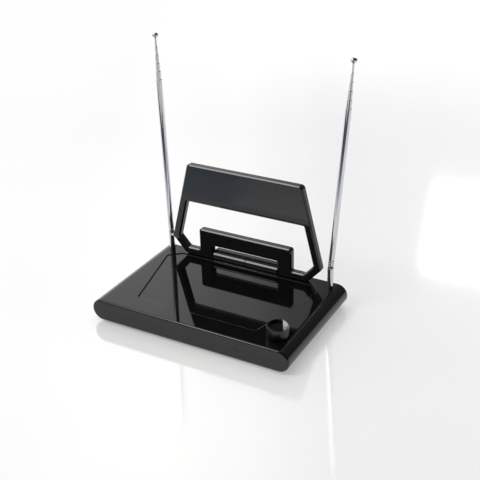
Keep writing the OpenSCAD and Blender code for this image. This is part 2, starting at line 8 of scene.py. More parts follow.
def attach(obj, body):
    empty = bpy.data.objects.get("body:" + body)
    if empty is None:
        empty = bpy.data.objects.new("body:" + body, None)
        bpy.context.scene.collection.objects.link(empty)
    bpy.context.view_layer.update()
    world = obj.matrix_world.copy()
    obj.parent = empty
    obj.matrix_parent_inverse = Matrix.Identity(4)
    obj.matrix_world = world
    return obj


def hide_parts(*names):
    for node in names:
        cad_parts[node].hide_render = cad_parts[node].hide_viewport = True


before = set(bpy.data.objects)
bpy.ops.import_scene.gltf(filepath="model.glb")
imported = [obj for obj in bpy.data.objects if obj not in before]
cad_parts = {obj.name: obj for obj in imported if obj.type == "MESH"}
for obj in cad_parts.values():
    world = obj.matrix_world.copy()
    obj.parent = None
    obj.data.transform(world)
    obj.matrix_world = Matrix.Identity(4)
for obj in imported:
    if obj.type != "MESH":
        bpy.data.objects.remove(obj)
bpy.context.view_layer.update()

scene = bpy.context.scene
MM = 0.001


# ---- Camera: a long lens, a little above the base and round to its right ----
# The eye stands 0.93 m away, 29 degrees round and 30 degrees up, as on a product table.
azimuth, elevation, roll = math.radians(28.64), math.radians(29.80), math.radians(-1.03)
level = math.cos(elevation)
back = Vector((math.sin(azimuth) * level, -math.cos(azimuth) * level, math.sin(elevation)))
side = Vector((math.cos(azimuth), math.sin(azimuth), 0))
above = back.cross(side)
eye = (side * 34.60 + above * 34.4 + back * 932.73 + Vector((0, 0, 2))) * MM
level_x = side * math.cos(roll) + above * math.sin(roll)
level_y = above * math.cos(roll) - side * math.sin(roll)
lens = bpy.data.cameras.new("camera")
lens.sensor_width, lens.lens = 36, 65.38
lens.shift_x, lens.shift_y = -0.0278, 0.0798
lens.clip_start, lens.clip_end = 0.01, 30
camera = bpy.data.objects.new("camera", lens)
scene.collection.objects.link(camera)
camera.matrix_world = Matrix.Translation(eye) @ Matrix((level_x, level_y, back)).transposed().to_4x4()
scene.camera = camera
scene.view_settings.view_transform = "Standard"
scene.view_settings.look = "None"


# ---- Studio: white sweep, soft light all round that is brighter to the back and left ----
# The dark side of the room is behind the camera and to the right, so black gloss shows grey and true black.
def linear(code):
    """An sRGB hex colour as linear red, green, blue and alpha."""
    parts = [int(code[i:i + 2], 16) / 255 for i in (1, 3, 5)]
    return (*[c / 12.92 if c <= 0.04045 else ((c + 0.055) / 1.055) ** 2.4 for c in parts], 1.0)


def add(tree, kind, settings=None, **links):
    """Adds a node of that kind with its settings; each input is a number, a colour or a node's output."""
    node = tree.nodes.new(kind)
    for name, value in (settings or {}).items():
        setattr(node, name, value)
    for name, value in links.items():
        by_number = name[0] == "i" and name[1:].isdigit()
        socket = node.inputs[int(name[1:]) if by_number else name.replace("_", " ")]
        if isinstance(value, bpy.types.NodeSocket):
            tree.links.new(value, socket)
        else:
            socket.default_value = value
    return node


def ramp(tree, factor, stops, smooth="EASE"):
    """A colour ramp through (position, grey or colour) stops."""
    node = add(tree, "ShaderNodeValToRGB", i0=factor)
    node.color_ramp.interpolation = smooth
    while len(node.color_ramp.elements) < len(stops):
        node.color_ramp.elements.new(0.5)
    for element, (place, value) in zip(node.color_ramp.elements, stops):
        element.position = place
        element.color = value if isinstance(value, tuple) else (value, value, value, 1)
    return node.outputs["Color"]


world = bpy.data.worlds.new("studio")
scene.world = world
world.use_nodes = True
sky = world.node_tree
sky.nodes.clear()
way = add(sky, "ShaderNodeTexCoord").outputs["Generated"]
dot = {"operation": "DOT_PRODUCT"}
multiply = {"data_type": "RGBA", "blend_type": "MULTIPLY"}
# from right to left, from behind the camera to beyond the table, and from the horizon up
leftward = add(sky, "ShaderNodeVectorMath", dot, i0=way, i1=tuple(-side)).outputs["Value"]
leftward = add(sky, "ShaderNodeMapRange", i0=leftward, i1=-1.0, i2=1.0).outputs[0]
forward = add(sky, "ShaderNodeVectorMath", dot, i0=way, i1=(-0.479, 0.878, 0)).outputs["Value"]
forward = add(sky, "ShaderNodeMapRange", i0=forward, i1=-1.0, i2=1.0).outputs[0]
height = add(sky, "ShaderNodeSeparateXYZ", i0=way).outputs["Z"]
across = ramp(sky, leftward, [(0.0, 0.12), (0.38, 0.18), (0.455, 0.28), (0.475, 0.46),
                              (0.51, 0.74), (0.56, 1.0), (1.0, 1.0)])
depth = ramp(sky, forward, [(0.0, 0.16), (0.35, 0.3), (0.6, 0.8), (0.75, 1.0), (1.0, 1.0)])
lift = ramp(sky, height, [(0.0, 1.0), (0.62, 1.0), (0.85, 0.45), (1.0, 0.35)])
# low down the room is brighter than white, except on the right
skyline = add(sky, "ShaderNodeMapRange", i0=height, i1=0.34, i2=0.16).outputs[0]
not_right = add(sky, "ShaderNodeMapRange", i0=leftward, i1=0.3, i2=0.44).outputs[0]
skyline = add(sky, "ShaderNodeMath", {"operation": "MULTIPLY"}, i0=skyline, i1=not_right).outputs[0]
bright = (1.3, 1.3, 1.3, 1)
across = add(sky, "ShaderNodeMix", {"data_type": "RGBA"}, i0=skyline, i6=across, i7=bright).outputs[2]
light = add(sky, "ShaderNodeMix", multiply, i0=1.0, i6=across, i7=depth).outputs[2]
light = add(sky, "ShaderNodeMix", multiply, i0=1.0, i6=light, i7=lift).outputs[2]
# the camera itself sees plain white
seen = add(sky, "ShaderNodeLightPath").outputs["Is Camera Ray"]
light = add(sky, "ShaderNodeMix", {"data_type": "RGBA"}, i0=seen, i6=light, i7=(1, 1, 1, 1)).outputs[2]
glow = add(sky, "ShaderNodeBackground", Color=light, Strength=1.05)
add(sky, "ShaderNodeOutputWorld", Surface=glow.outputs[0])


def softbox(name, place, target, width, height, radiance, tint="#FFFFFF"):
    """A soft panel light that faces the target; its strength is given as the brightness of its face."""
    lamp = bpy.data.lights.new(name, "AREA")
    lamp.shape, lamp.size, lamp.size_y = "RECTANGLE", width, height
    lamp.energy = radiance * math.pi * width * height
    lamp.color = linear(tint)[:3]
    box = bpy.data.objects.new(name, lamp)
    scene.collection.objects.link(box)
    aim = (Vector(place) - Vector(target)).to_track_quat("Z", "Y")
    box.matrix_world = Matrix.Translation(Vector(place)) @ aim.to_matrix().to_4x4()
    return box


softbox("key_softbox", (-0.624, -0.685, 1.17), (0, 0.06, 0.03), 0.55, 0.56, 7.0, "#FFFDF8")
softbox("window_strip", (-0.048, 1.451, 0.582), (0.0915, -0.048, 0.038), 0.3, 0.22, 5.0)
ceiling = softbox("ceiling_fill", (-0.1, 0.2, 2.1), (0, 0, 0), 2.6, 2.6, 1.5)
ceiling.visible_glossy = False


def finished(name, tree_maker):
    """A material whose nodes tree_maker(tree, shader) fills in."""
    stuff = bpy.data.materials.new(name)
    stuff.use_nodes = True
    shader = stuff.node_tree.nodes["Principled BSDF"]
    tree_maker(stuff.node_tree, shader)
    return stuff


def polished_white(tree, shader):
    """White acrylic sheet: bright, with a soft mirror of what stands on it and a painted glow that lifts it
    to white.
    """
    where = add(tree, "ShaderNodeTexCoord").outputs["Object"]
    cloud = add(tree, "ShaderNodeTexNoise", i0=where, Scale=3.0, Detail=2.0).outputs[0]
    tone = ramp(tree, cloud, [(0.3, linear("#C8C8CA")), (0.7, linear("#CCCCCC"))])
    tree.links.new(tone, shader.inputs["Base Color"])
    shader.inputs["Roughness"].default_value = 0.09
    shader.inputs["IOR"].default_value = 3.0
    # painted glow: the sheet's own emission stands in for light, a little more on the right where the room is
    # darker
    spot = add(tree, "ShaderNodeVectorMath", dot, i0=where, i1=tuple(side)).outputs["Value"]
    painted_glow = add(tree, "ShaderNodeMapRange", i0=spot, i1=-0.2, i2=0.45, i3=0.25, i4=0.5).outputs[0]
    shader.inputs["Emission Color"].default_value = (1, 1, 1, 1)
    tree.links.new(painted_glow, shader.inputs["Emission Strength"])


bm = bmesh.new()
bmesh.ops.create_circle(bm, cap_ends=True, segments=96, radius=3.2)
sheet = bpy.data.meshes.new("floor")
bm.to_mesh(sheet)
bm.free()
floor = bpy.data.objects.new("floor", sheet)
scene.collection.objects.link(floor)
sheet.materials.append(finished("white_acrylic", polished_white))


def uneven_card(tree, shader):
    """Glow of a white sheet: weaker towards the eye, bluer on its left, with one soft curved edge."""
    where = add(tree, "ShaderNodeTexCoord").outputs["Object"]
    spot = add(tree, "ShaderNodeSeparateXYZ", i0=where)
    away = add(tree, "ShaderNodeMapRange", i0=spot.outputs["Y"], i1=-0.13, i2=-0.75).outputs[0]
    fade = ramp(tree, away, [(0.0, 1.0), (0.12, 0.85), (0.3, 0.34), (0.5, 0.1), (1.0, 0.05)], "LINEAR")
    swirl = add(tree, "ShaderNodeTexNoise", i0=where, Scale=9.0, Detail=1.0, Distortion=0.6).outputs[0]
    bend = {"operation": "MULTIPLY_ADD"}
    bent = add(tree, "ShaderNodeMath", bend, i0=swirl, i1=0.16, i2=spot.outputs["X"]).outputs[0]
    bent = add(tree, "ShaderNodeMapRange", i0=bent, i1=-0.16, i2=0.06).outputs[0]
    tint = ramp(tree, bent, [(0.0, (0.6, 0.68, 0.82, 1)), (0.42, (0.62, 0.69, 0.82, 1)),
                             (0.55, (0.95, 0.97, 1.0, 1)), (1.0, (1.0, 1.0, 1.0, 1))])
    glow = add(tree, "ShaderNodeMix", multiply, i0=1.0, i6=fade, i7=tint).outputs[2]
    shader.inputs["Base Color"].default_value = (0, 0, 0, 1)
    shader.inputs["Roughness"].default_value = 1.0
    shader.inputs["Specular IOR Level"].default_value = 0.0
    tree.links.new(glow, shader.inputs["Emission Color"])
    shader.inputs["Emission Strength"].default_value = 1.0
    # clear from below, so that the floor under it still mirrors the room
    under = add(tree, "ShaderNodeNewGeometry").outputs["Backfacing"]
    clear = add(tree, "ShaderNodeMath", {"operation": "SUBTRACT"}, i0=1.0, i1=under).outputs[0]
    tree.links.new(clear, shader.inputs["Alpha"])


# the card lies just above the floor in front of the base, and only mirrors see it
bm = bmesh.new()
bmesh.ops.create_grid(bm, x_segments=1, y_segments=1, size=0.5)
bmesh.ops.scale(bm, vec=(1.6, 0.62, 1), verts=bm.verts)
bmesh.ops.translate(bm, vec=(0, -0.44, 0.0006), verts=bm.verts)
sheet = bpy.data.meshes.new("front_card")
bm.to_mesh(sheet)
bm.free()
card = bpy.data.objects.new("front_card", sheet)
scene.collection.objects.link(card)
sheet.materials.append(finished("uneven_card_glow", uneven_card))
card.visible_camera = card.visible_diffuse = card.visible_shadow = card.visible_transmission = False


# ---- Bottom cover: the lower half of the flat, pill-shaped base ----
# Injection-moulded black ABS, 230 x 144 mm, 12 mm deep, with 2.4 mm walls and a gloss all over.
base_w, base_d, base_h, foot_h, wall, rim = 230, 144, 24, 2, 2.4, 2
z_low, z_top, z_mid = foot_h, foot_h + base_h, foot_h + base_h / 2
gap = 0.14  # width of the dark line where the covers meet
coax_x, power_x, led_x = -58, -77, 59


def black_gloss(tree, shader, dark="#070708", light="#0B0B0C"):
    """Polished black ABS: near-black pigment under a mirror skin, with a moulded wall's faint waviness."""
    where = add(tree, "ShaderNodeTexCoord").outputs["Object"]
    # slow shading of the pigment over about 60 mm, as the melt flowed
    flow = add(tree, "ShaderNodeTexNoise", i0=where, Scale=16.0, Detail=3.0).outputs[0]
    tone = ramp(tree, flow, [(0.35, linear(dark)), (0.7, linear(light))])
    tree.links.new(tone, shader.inputs["Base Color"])
    # handling marks change the gloss over about 20 mm
    marks = add(tree, "ShaderNodeTexNoise", i0=where, Scale=50.0, Detail=5.0, Roughness=0.6).outputs[0]
    rough = add(tree, "ShaderNodeMapRange", i0=marks, i1=0.3, i2=0.75, i3=0.028, i4=0.06).outputs[0]
    tree.links.new(rough, shader.inputs["Roughness"])
    # waviness of the skin, 12 mm from crest to crest and a few micrometres high
    swell = add(tree, "ShaderNodeTexNoise", i0=where, Scale=80.0, Detail=1.0).outputs[0]
    bump = add(tree, "ShaderNodeBump", Strength=0.12, Distance=0.00003, Height=swell)
    tree.links.new(bump.outputs[0], shader.inputs["Normal"])
    shader.inputs["IOR"].default_value = 1.54


abs_gloss = finished("moulded_abs_gloss_black", black_gloss)


def rounded(bm, edges, radius, cuts):
    """Rounds the edges, or chamfers them with one cut."""
    bmesh.ops.bevel(bm, geom=edges, offset=radius, segments=cuts, profile=0.5, affect="EDGES", material=-1)


def corners_of(bm, test, least=1.0, most=4.0):
    """Edges whose faces turn by least to most radians and whose two ends both pass the test."""
    return [e for e in bm.edges if len(e.link_faces) == 2 and least < e.calc_face_angle(0) < most
            and all(test(v.co) for v in e.verts)]


def hull_bar(w, d, h, r, cuts=6):
    """Flat bar with half-round sides and rounded front and back rims, centred on the parting line."""
    bm = bmesh.new()
    end = w / 2 - h / 2

    def half_turn(vert, x):
        arc = bmesh.ops.spin(bm, geom=[vert], axis=(0, 1, 0), cent=(x, -d / 2, z_mid), angle=-math.pi,
                             steps=40)
        return [v for v in arc["geom_last"] if isinstance(v, bmesh.types.BMVert)][0]

    first = bmesh.ops.create_vert(bm, co=(end, -d / 2, z_mid - h / 2))["vert"][0]
    top = half_turn(first, end)
    over = bmesh.ops.extrude_vert_indiv(bm, verts=[top])["verts"][0]
    over.co.x = -end
    last = half_turn(over, -end)
    bm.edges.new((last, first))
    bmesh.ops.remove_doubles(bm, verts=bm.verts, dist=1e-5)
    face = bmesh.ops.contextual_create(bm, geom=bm.edges)["faces"]
    grown = bmesh.ops.extrude_face_region(bm, geom=face)["geom"]
    bmesh.ops.translate(bm, vec=(0, d, 0), verts=[v for v in grown if isinstance(v, bmesh.types.BMVert)])
    bmesh.ops.recalc_face_normals(bm, faces=bm.faces)
    rims = [e for e in bm.edges if abs(e.verts[0].co.y) > d / 2 - 0.01
            and abs(e.verts[0].co.y - e.verts[1].co.y) < 0.01]
    rounded(bm, rims, r, cuts)
    return bm


def block(x, y, z):
    """Box between the given pairs of limits."""
    bm = bmesh.new()
    bmesh.ops.create_cube(bm, size=1)
    bmesh.ops.scale(bm, vec=(x[1] - x[0], y[1] - y[0], z[1] - z[0]), verts=bm.verts)
    bmesh.ops.translate(bm, vec=((x[0] + x[1]) / 2, (y[0] + y[1]) / 2, (z[0] + z[1]) / 2), verts=bm.verts)
    return bm


def rod(r, start, length, axis="Z", sides=48):
    """Round tool from a start point, along Y or Z."""
    bm = bmesh.new()
    bmesh.ops.create_cone(bm, cap_ends=True, segments=sides, radius1=r, radius2=r, depth=length)
    bmesh.ops.translate(bm, vec=(0, 0, length / 2), verts=bm.verts)
    if axis == "Y":
        bmesh.ops.rotate(bm, cent=(0, 0, 0), matrix=Matrix.Rotation(-math.pi / 2, 3, "X"), verts=bm.verts)
    bmesh.ops.translate(bm, vec=start, verts=bm.verts)
    return bm


def carve(bm, tools, operation="DIFFERENCE"):
    """Cuts the tools out of a solid, or joins them to it."""
    def stand_in(name, shape):
        mesh = bpy.data.meshes.new(name)
        shape.to_mesh(mesh)
        thing = bpy.data.objects.new(name, mesh)
        scene.collection.objects.link(thing)
        return thing
    body = stand_in("blank", bm)
    cutters = [stand_in("tool", t) for t in tools]
    for cutter in cutters:
        step = body.modifiers.new("cut", "BOOLEAN")
        step.object, step.operation, step.solver = cutter, operation, "EXACT"
    result = bmesh.new()
    result.from_object(body, bpy.context.evaluated_depsgraph_get())
    for thing in [body, *cutters]:
        mesh = thing.data
        bpy.data.objects.remove(thing)
        bpy.data.meshes.remove(mesh)
    for shape in [bm, *tools]:
        shape.free()
    bmesh.ops.remove_doubles(result, verts=result.verts, dist=1e-4)
    bmesh.ops.dissolve_degenerate(result, dist=1e-4, edges=result.edges)
    return result


def piece(name, bm, stuff, body, stands_for=(), sharp=32):
    """Turns a shape drawn in millimetres into a piece that rides on a body."""
    bmesh.ops.scale(bm, vec=(MM, MM, MM), verts=bm.verts)
    for face in bm.faces:
        face.smooth = True
    mesh = bpy.data.meshes.new(name)
    bm.to_mesh(mesh)
    bm.free()
    mesh.set_sharp_from_angle(angle=math.radians(sharp))
    mesh.materials.append(stuff)
    made = bpy.data.objects.new(name, mesh)
    scene.collection.objects.link(made)
    even = made.modifiers.new("even shading", "WEIGHTED_NORMAL")
    even.keep_sharp = True
    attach(made, body)
    if stands_for:
        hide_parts(*stands_for)
    return made


def half_base(z1, z2):
    """Closed solid of the base's outer form between two heights; its walls are hollowed out afterwards."""
    outer = hull_bar(base_w, base_d, base_h, rim)
    for z, keep_up in ((z1, True), (z2, False)):
        whole = [*outer.verts, *outer.edges, *outer.faces]
        cut = bmesh.ops.bisect_plane(outer, geom=whole, plane_co=(0, 0, z), plane_no=(0, 0, 1),
                                     clear_inner=keep_up, clear_outer=not keep_up)
        rim_edges = [g for g in cut["geom_cut"] if isinstance(g, bmesh.types.BMEdge)]
        if rim_edges:
            bmesh.ops.edgeloop_fill(outer, edges=rim_edges)
    bmesh.ops.recalc_face_normals(outer, faces=outer.faces)
    return outer


inner = (base_w - 2 * wall, base_d - 2 * wall, base_h - 2 * wall, 0.6, 2)
pocket_y = base_d / 2 - 6
coax_r = 4.75
pocket_hw, pocket_hh = 7, 6.8
power_hw, power_hh = 4.5, 4
led_hw, led_hh = 3.5, 0.8


def wall_openings():
    """Tools for the pocket of the coaxial socket, the power socket and the lamp's window."""
    def opening(x, half_w, half_h, y):
        return block((x - half_w, x + half_w), y, (z_mid - half_h, z_mid + half_h))
    return [opening(coax_x, pocket_hw, pocket_hh, (pocket_y, base_d)),
            rod(coax_r - 0.15, (coax_x, pocket_y - 4, z_mid), 10, "Y"),
            opening(power_x, power_hw, power_hh, (60, base_d)),
            opening(led_x, led_hw, led_hh, (-base_d, -60))]


def pocket_walls(z1, z2):
    """Walls round the socket's pocket."""
    half_w, half_h = pocket_hw + wall, pocket_hh + wall
    return block((coax_x - half_w, coax_x + half_w), (pocket_y - wall, base_d / 2 - 1),
                 (max(z1, z_mid - half_h), min(z2, z_mid + half_h)))


low = carve(half_base(-50, z_mid - gap / 2), [hull_bar(*inner)])
low = carve(low, [pocket_walls(z_low, z_mid - gap / 2)], "UNION")
foot_x, foot_y, foot_r = base_w / 2 - 27, base_d / 2 - 18, 8
screw_y, screw_hole_r = 61.6, 3.2
screw_places = [(-36, -screw_y), (36, -screw_y), (-44, screw_y), (44, screw_y)]
low = carve(low, wall_openings()
            + [rod(foot_r, (sx * foot_x, sy * foot_y, z_low - 1), 2) for sx in (-1, 1) for sy in (-1, 1)]
            + [rod(screw_hole_r, (x, y, z_low - 1), 10) for x, y in screw_places])
rounded(low, corners_of(low, lambda co: abs(co.z - (z_mid - gap / 2)) < 0.01), 0.12, 2)
piece("bottom_shell", low, abs_gloss, "base", ["bottom_cover"])


# ---- Inside the base: ballast, circuit board, switch, lamp, leads and screws ----
# They show only when the covers are off; each keeps its engineering shape and gets its own finish.
def pressed_steel(tree, shader):
    """Zinc-plated steel: bright grey metal with fine cloudy spangle and a satin sheen."""
    where = add(tree, "ShaderNodeTexCoord").outputs["Object"]
    # zinc grains of about 2 mm
    grain = add(tree, "ShaderNodeTexVoronoi", i0=where, Scale=500.0).outputs["Color"]
    grey = add(tree, "ShaderNodeRGBToBW", i0=grain).outputs[0]
    tone = ramp(tree, grey, [(0.2, linear("#A9ADB2")), (0.8, linear("#C3C6C9"))])
    tree.links.new(tone, shader.inputs["Base Color"])
    rough = add(tree, "ShaderNodeMapRange", i0=grey, i3=0.28, i4=0.4).outputs[0]
    tree.links.new(rough, shader.inputs["Roughness"])
    shader.inputs["Metallic"].default_value = 1.0


def soldered_board(tree, shader):
    """Glass-epoxy board under green solder mask, with faint copper tracks 1 mm wide."""
    where = add(tree, "ShaderNodeTexCoord").outputs["Object"]
    fine = add(tree, "ShaderNodeMapping", i0=where, Scale=(500.0, 500.0, 500.0)).outputs[0]
    tracks = add(tree, "ShaderNodeTexBrick", {"offset": 0.35}, i0=fine, Scale=0.25, i5=0.06, i6=0.1)
    tracks = tracks.outputs["Fac"]
    tone = ramp(tree, tracks, [(0.0, linear("#12512F")), (1.0, linear("#1F7A48"))], "LINEAR")
    tree.links.new(tone, shader.inputs["Base Color"])
    shader.inputs["Roughness"].default_value = 0.35
    shader.inputs["IOR"].default_value = 1.52


def grainy(colour_a, colour_b, rough_a, rough_b, grain_mm, ior=1.5, bump=0.2, metallic=0.0):
    """Maker for a finely grained surface: two close colours, two roughnesses and the grain's size."""
    def fill(tree, shader):
        where = add(tree, "ShaderNodeTexCoord").outputs["Object"]
        grain = add(tree, "ShaderNodeTexNoise", i0=where, Scale=1000.0 / grain_mm, Detail=3.0).outputs[0]
        tone = ramp(tree, grain, [(0.3, linear(colour_a)), (0.7, linear(colour_b))])
        tree.links.new(tone, shader.inputs["Base Color"])
        rough = add(tree, "ShaderNodeMapRange", i0=grain, i1=0.3, i2=0.7, i3=rough_a, i4=rough_b).outputs[0]
        tree.links.new(rough, shader.inputs["Roughness"])
        relief = add(tree, "ShaderNodeBump", Strength=bump, Distance=grain_mm * 0.00003, Height=grain)
        tree.links.new(relief.outputs[0], shader.inputs["Normal"])
        shader.inputs["Metallic"].default_value = metallic
        if not metallic:
            shader.inputs["IOR"].default_value = ior
    return fill


def dress(stuff, *names):
    """Gives CAD nodes that stay as they are a new finish."""
    for name in names:
        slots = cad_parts[name].material_slots
        for place in slots:
            place.material = stuff


zinc = finished("zinc_plated_steel", pressed_steel)
dress(zinc, "ballast_plate", "cover_screws", "hinge_screws", "rotary_switch", "hinge_pins", "switch_shaft",
      "left_clip", "right_clip", "left_tilt_pin", "right_tilt_pin")
dress(finished("epoxy_board_green", soldered_board), "circuit_board")
dress(finished("sintered_ferrite", grainy("#2A2B2E", "#3A3B3F", 0.5, 0.65, 0.4, 1.8)), "balun_ring")
nickel = grainy("#C9C3B4", "#D5D0C4", 0.16, 0.26, 0.6, metallic=1.0, bump=0.1)
nickel = finished("nickel_plated_brass", nickel)
dress(nickel, "coax_jack", "jack_nut", "switch_nut")
brass = grainy("#B9965A", "#C8A76B", 0.2, 0.32, 0.5, metallic=1.0, bump=0.1)
dress(finished("turned_brass", brass), "swivel_bushes", "solder_tags")
copper = grainy("#B8704A", "#C98560", 0.25, 0.38, 0.8, metallic=1.0, bump=0.1)
dress(finished("copper_strip", copper), "loop_conductor")
dress(finished("pvc_lead_red", grainy("#8E1A16", "#A3241E", 0.4, 0.5, 0.8, 1.53)), "inner_leads")
dress(finished("moulded_nylon_black", grainy("#111113", "#17171A", 0.42, 0.55, 0.5, 1.53)), "power_jack")
dress(finished("epoxy_lamp_milky", grainy("#C9D3C9", "#DDE3DC", 0.15, 0.22, 1.2, 1.55)), "indicator_led")
dress(finished("smoked_acrylic", grainy("#17191C", "#202327", 0.06, 0.12, 3.0, 1.49, 0.05)), "indicator_lens")


# ---- Rubber feet: four turned pads glued into shallow seats ----
# Black rubber, 16 mm across and 3 mm thick, standing 2 mm below the cover, with a softly rounded lower edge.
rubber = finished("black_rubber", grainy("#131313", "#1B1B1B", 0.75, 0.9, 0.6, 1.52, 0.5))
pads = bmesh.new()
pad_r = foot_r - 0.05
for sx in (-1, 1):
    for sy in (-1, 1):
        made = bmesh.ops.create_cone(pads, cap_ends=True, segments=48, radius1=pad_r, radius2=pad_r, depth=3)
        bmesh.ops.translate(pads, vec=(sx * foot_x, sy * foot_y, 1.5), verts=made["verts"])
rounded(pads, corners_of(pads, lambda co: co.z < 0.01), 0.6, 3)
piece("foot_pads", pads, rubber, "base", ["rubber_feet"])


# ---- Top cover: the upper half of the base, with the tray that the folded loop lies in ----
# The same black ABS; the tray is 1 mm deep with softly rounded walls, and two holes pass the rods' studs.
loop_x, hinge_y, hinge_z = -2.4, 60.6, z_top + 5
loop_t, loop_wide, loop_top_hw, loop_low_hw = 8.6, 92.4, 68.8, 76.4
tray_y, tray_gap, corner_r, flare = -49.3, 1.2, 3, 0.7
loop_v, loop_wide_v, loop_lift = 110.7, 19.4, 1.4
rod_x, rod_y, pivot_z = 99, hinge_y, z_top + 22
knob_x, knob_y = 91.5, -48
shaft_hole_r, stud_hole_r = 4.3, 2.9


def outline(corners, radii, z, steps=8):
    """Flat polygon with each corner rounded to its own radius."""
    bm = bmesh.new()
    verts = [bmesh.ops.create_vert(bm, co=(x, y, z))["vert"][0] for x, y in corners]
    count = len(verts)
    for i in range(count):
        bm.edges.new((verts[i], verts[(i + 1) % count]))
    bmesh.ops.contextual_create(bm, geom=bm.edges)
    for i in range(count):
        before, here, after = (Vector(corners[(i + k) % count]) for k in (-1, 0, 1))
        turn = (here - before).angle(after - here)
        if radii[i] > 0 and turn > 0.01:
            reach = radii[i] * math.tan(turn / 2)
            bmesh.ops.bevel(bm, geom=[verts[i]], offset=reach, segments=steps, profile=0.5,
                            affect="VERTICES", material=-1, offset_type="OFFSET")
    return bm


def raised(bm, height):
    """Extrudes every face of a flat shape upwards."""
    grown = bmesh.ops.extrude_face_region(bm, geom=bm.faces[:])["geom"]
    bmesh.ops.translate(bm, vec=(0, 0, height), verts=[v for v in grown if isinstance(v, bmesh.types.BMVert)])
    bmesh.ops.recalc_face_normals(bm, faces=bm.faces)
    return bm


far, wide_y = tray_y - flare, hinge_y + 5 - loop_wide_v - 1
near = hinge_y - loop_t / 2 + flare
spare = tray_gap + flare
half = [(loop_top_hw + spare, far), (loop_wide + spare, wide_y), (loop_low_hw + spare + 2, near)]
corners = [(loop_x + x, y) for x, y in half] + [(loop_x - x, y) for x, y in reversed(half)]
tray = outline(corners, [corner_r + flare] * 6, z_top, 10)
bmesh.ops.recalc_face_normals(tray, faces=tray.faces)
floor_face = tray.faces[:]
if floor_face[0].normal.z < 0:
    bmesh.ops.reverse_faces(tray, faces=floor_face)
# the wall falls 1 mm in nine steps: a broad rounded lip, a slope and a rounded foot
lip_steps = ((0.22, 0.015), (0.22, 0.05), (0.22, 0.1), (0.16, 0.13))
foot_steps = ((0.16, 0.13), (0.2, 0.1), (0.2, 0.05), (0.2, 0.015))
for inset, fall in (*lip_steps, (0.12, 0.41), *foot_steps):
    bmesh.ops.inset_region(tray, faces=floor_face, thickness=inset, depth=-fall,
                           use_even_offset=True, use_boundary=True)
rise = bmesh.ops.extrude_edge_only(tray, edges=[e for e in tray.edges if e.is_boundary])["geom"]
risen = [v for v in rise if isinstance(v, bmesh.types.BMVert)]
bmesh.ops.translate(tray, vec=(0, 0, 3), verts=risen)
bmesh.ops.edgeloop_fill(tray, edges=[e for e in rise if isinstance(e, bmesh.types.BMEdge) and e.is_boundary])
bmesh.ops.recalc_face_normals(tray, faces=tray.faces)

high = carve(half_base(z_mid + gap / 2, 90), [hull_bar(*inner)])
high = carve(high, [pocket_walls(z_mid + gap / 2, z_top)], "UNION")
high = carve(high, [tray, *wall_openings(), rod(shaft_hole_r, (knob_x, knob_y, z_mid), 20),
                    *[rod(stud_hole_r, (s * rod_x, rod_y, z_mid), 20) for s in (-1, 1)]])
rounded(high, corners_of(high, lambda co: abs(co.z - (z_mid + gap / 2)) < 0.01), 0.12, 2)
piece("top_shell", high, abs_gloss, "base", ["top_cover"])


# ---- Hinge block: a round barrel on a low plinth, with a flat saddle behind it ----
# Black ABS, 80 mm long, with a seam in the middle of the barrel; the saddle stands 2 mm above it.
barrel_r, block_hw, saddle_d, saddle_h, saddle_front, seam_w = 4.3, 40, 7.6, 11.3, 1.6, 0.1
barrel = bmesh.new()
for s in (-1, 1):
    made = bmesh.ops.create_cone(barrel, cap_ends=True, segments=64, radius1=barrel_r, radius2=barrel_r,
                                 depth=block_hw - seam_w)
    bmesh.ops.rotate(barrel, cent=(0, 0, 0), matrix=Matrix.Rotation(math.pi / 2, 3, "Y"), verts=made["verts"])
    middle = loop_x + s * (block_hw / 2 + seam_w / 2)
    bmesh.ops.translate(barrel, vec=(middle, hinge_y, hinge_z), verts=made["verts"])
rounded(barrel, corners_of(barrel, lambda co: True), 0.5, 3)
along = (loop_x - block_hw, loop_x + block_hw)
plinth_hw = barrel_r * 0.8
plinth = block(along, (hinge_y - plinth_hw, hinge_y + plinth_hw), (z_top, hinge_z))
saddle = block(along, (hinge_y + saddle_front, hinge_y + saddle_d), (z_top, z_top + saddle_h))
rounded(saddle, corners_of(saddle, lambda co: co.z > z_top + 1), 0.6, 3)
barrel = carve(barrel, [plinth, saddle], "UNION")
# a polished flat 1.8 mm wide runs along the front upper side of the barrel
flat = block((-60, 60), (-3, 3), (barrel_r - 0.1, barrel_r + 4))
bmesh.ops.rotate(flat, cent=(0, 0, 0), matrix=Matrix.Rotation(math.radians(45), 3, "X"), verts=flat.verts)
bmesh.ops.translate(flat, vec=(loop_x, hinge_y, hinge_z), verts=flat.verts)
keep_back = block((-60, 60), (hinge_y + saddle_front - 0.1, hinge_y + 20), (hinge_z - 20, hinge_z + 30))
flat = carve(flat, [keep_back])
barrel = carve(barrel, [flat])
piece("hinge_barrel", barrel, abs_gloss, "base", ["hinge_block"])


# ---- Loop: a flat six-sided frame of two glued half shells, which folds forward on the hinge ----
# Black ABS, 8.6 mm thick: a broad panel at the top, slim legs and a centre tab, chamfered all round.
leg_w, panel_h, bar_top, tab_hw, tab_top, cut_hw, cut_top, bevel = 8.8, 44.3, 9.7, 57.3, 35.9, 40.5, 17.7, 1.5
side_k = (loop_wide - loop_top_hw) / (loop_v - loop_wide_v)
low_k = (loop_wide_v - loop_lift) / (loop_wide - loop_low_hw)
side_off, low_off = math.hypot(1, side_k), math.hypot(1, low_k)


def on_side(v, d):
    """Half width of the frame's side at height v, moved inwards by d."""
    return loop_wide - side_k * (v - loop_wide_v) - d * side_off


def on_low(v, d):
    """Half width of the slanted lower side at height v, moved inwards by d."""
    return loop_low_hw + (v - loop_lift - d * low_off) / low_k


def wide_at(d):
    """Height of the widest corner, moved inwards by d."""
    side_at_zero = loop_wide + side_k * loop_wide_v - d * side_off
    low_at_zero = loop_low_hw - (loop_lift + d * low_off) / low_k
    return (side_at_zero - low_at_zero) / (side_k + 1 / low_k)


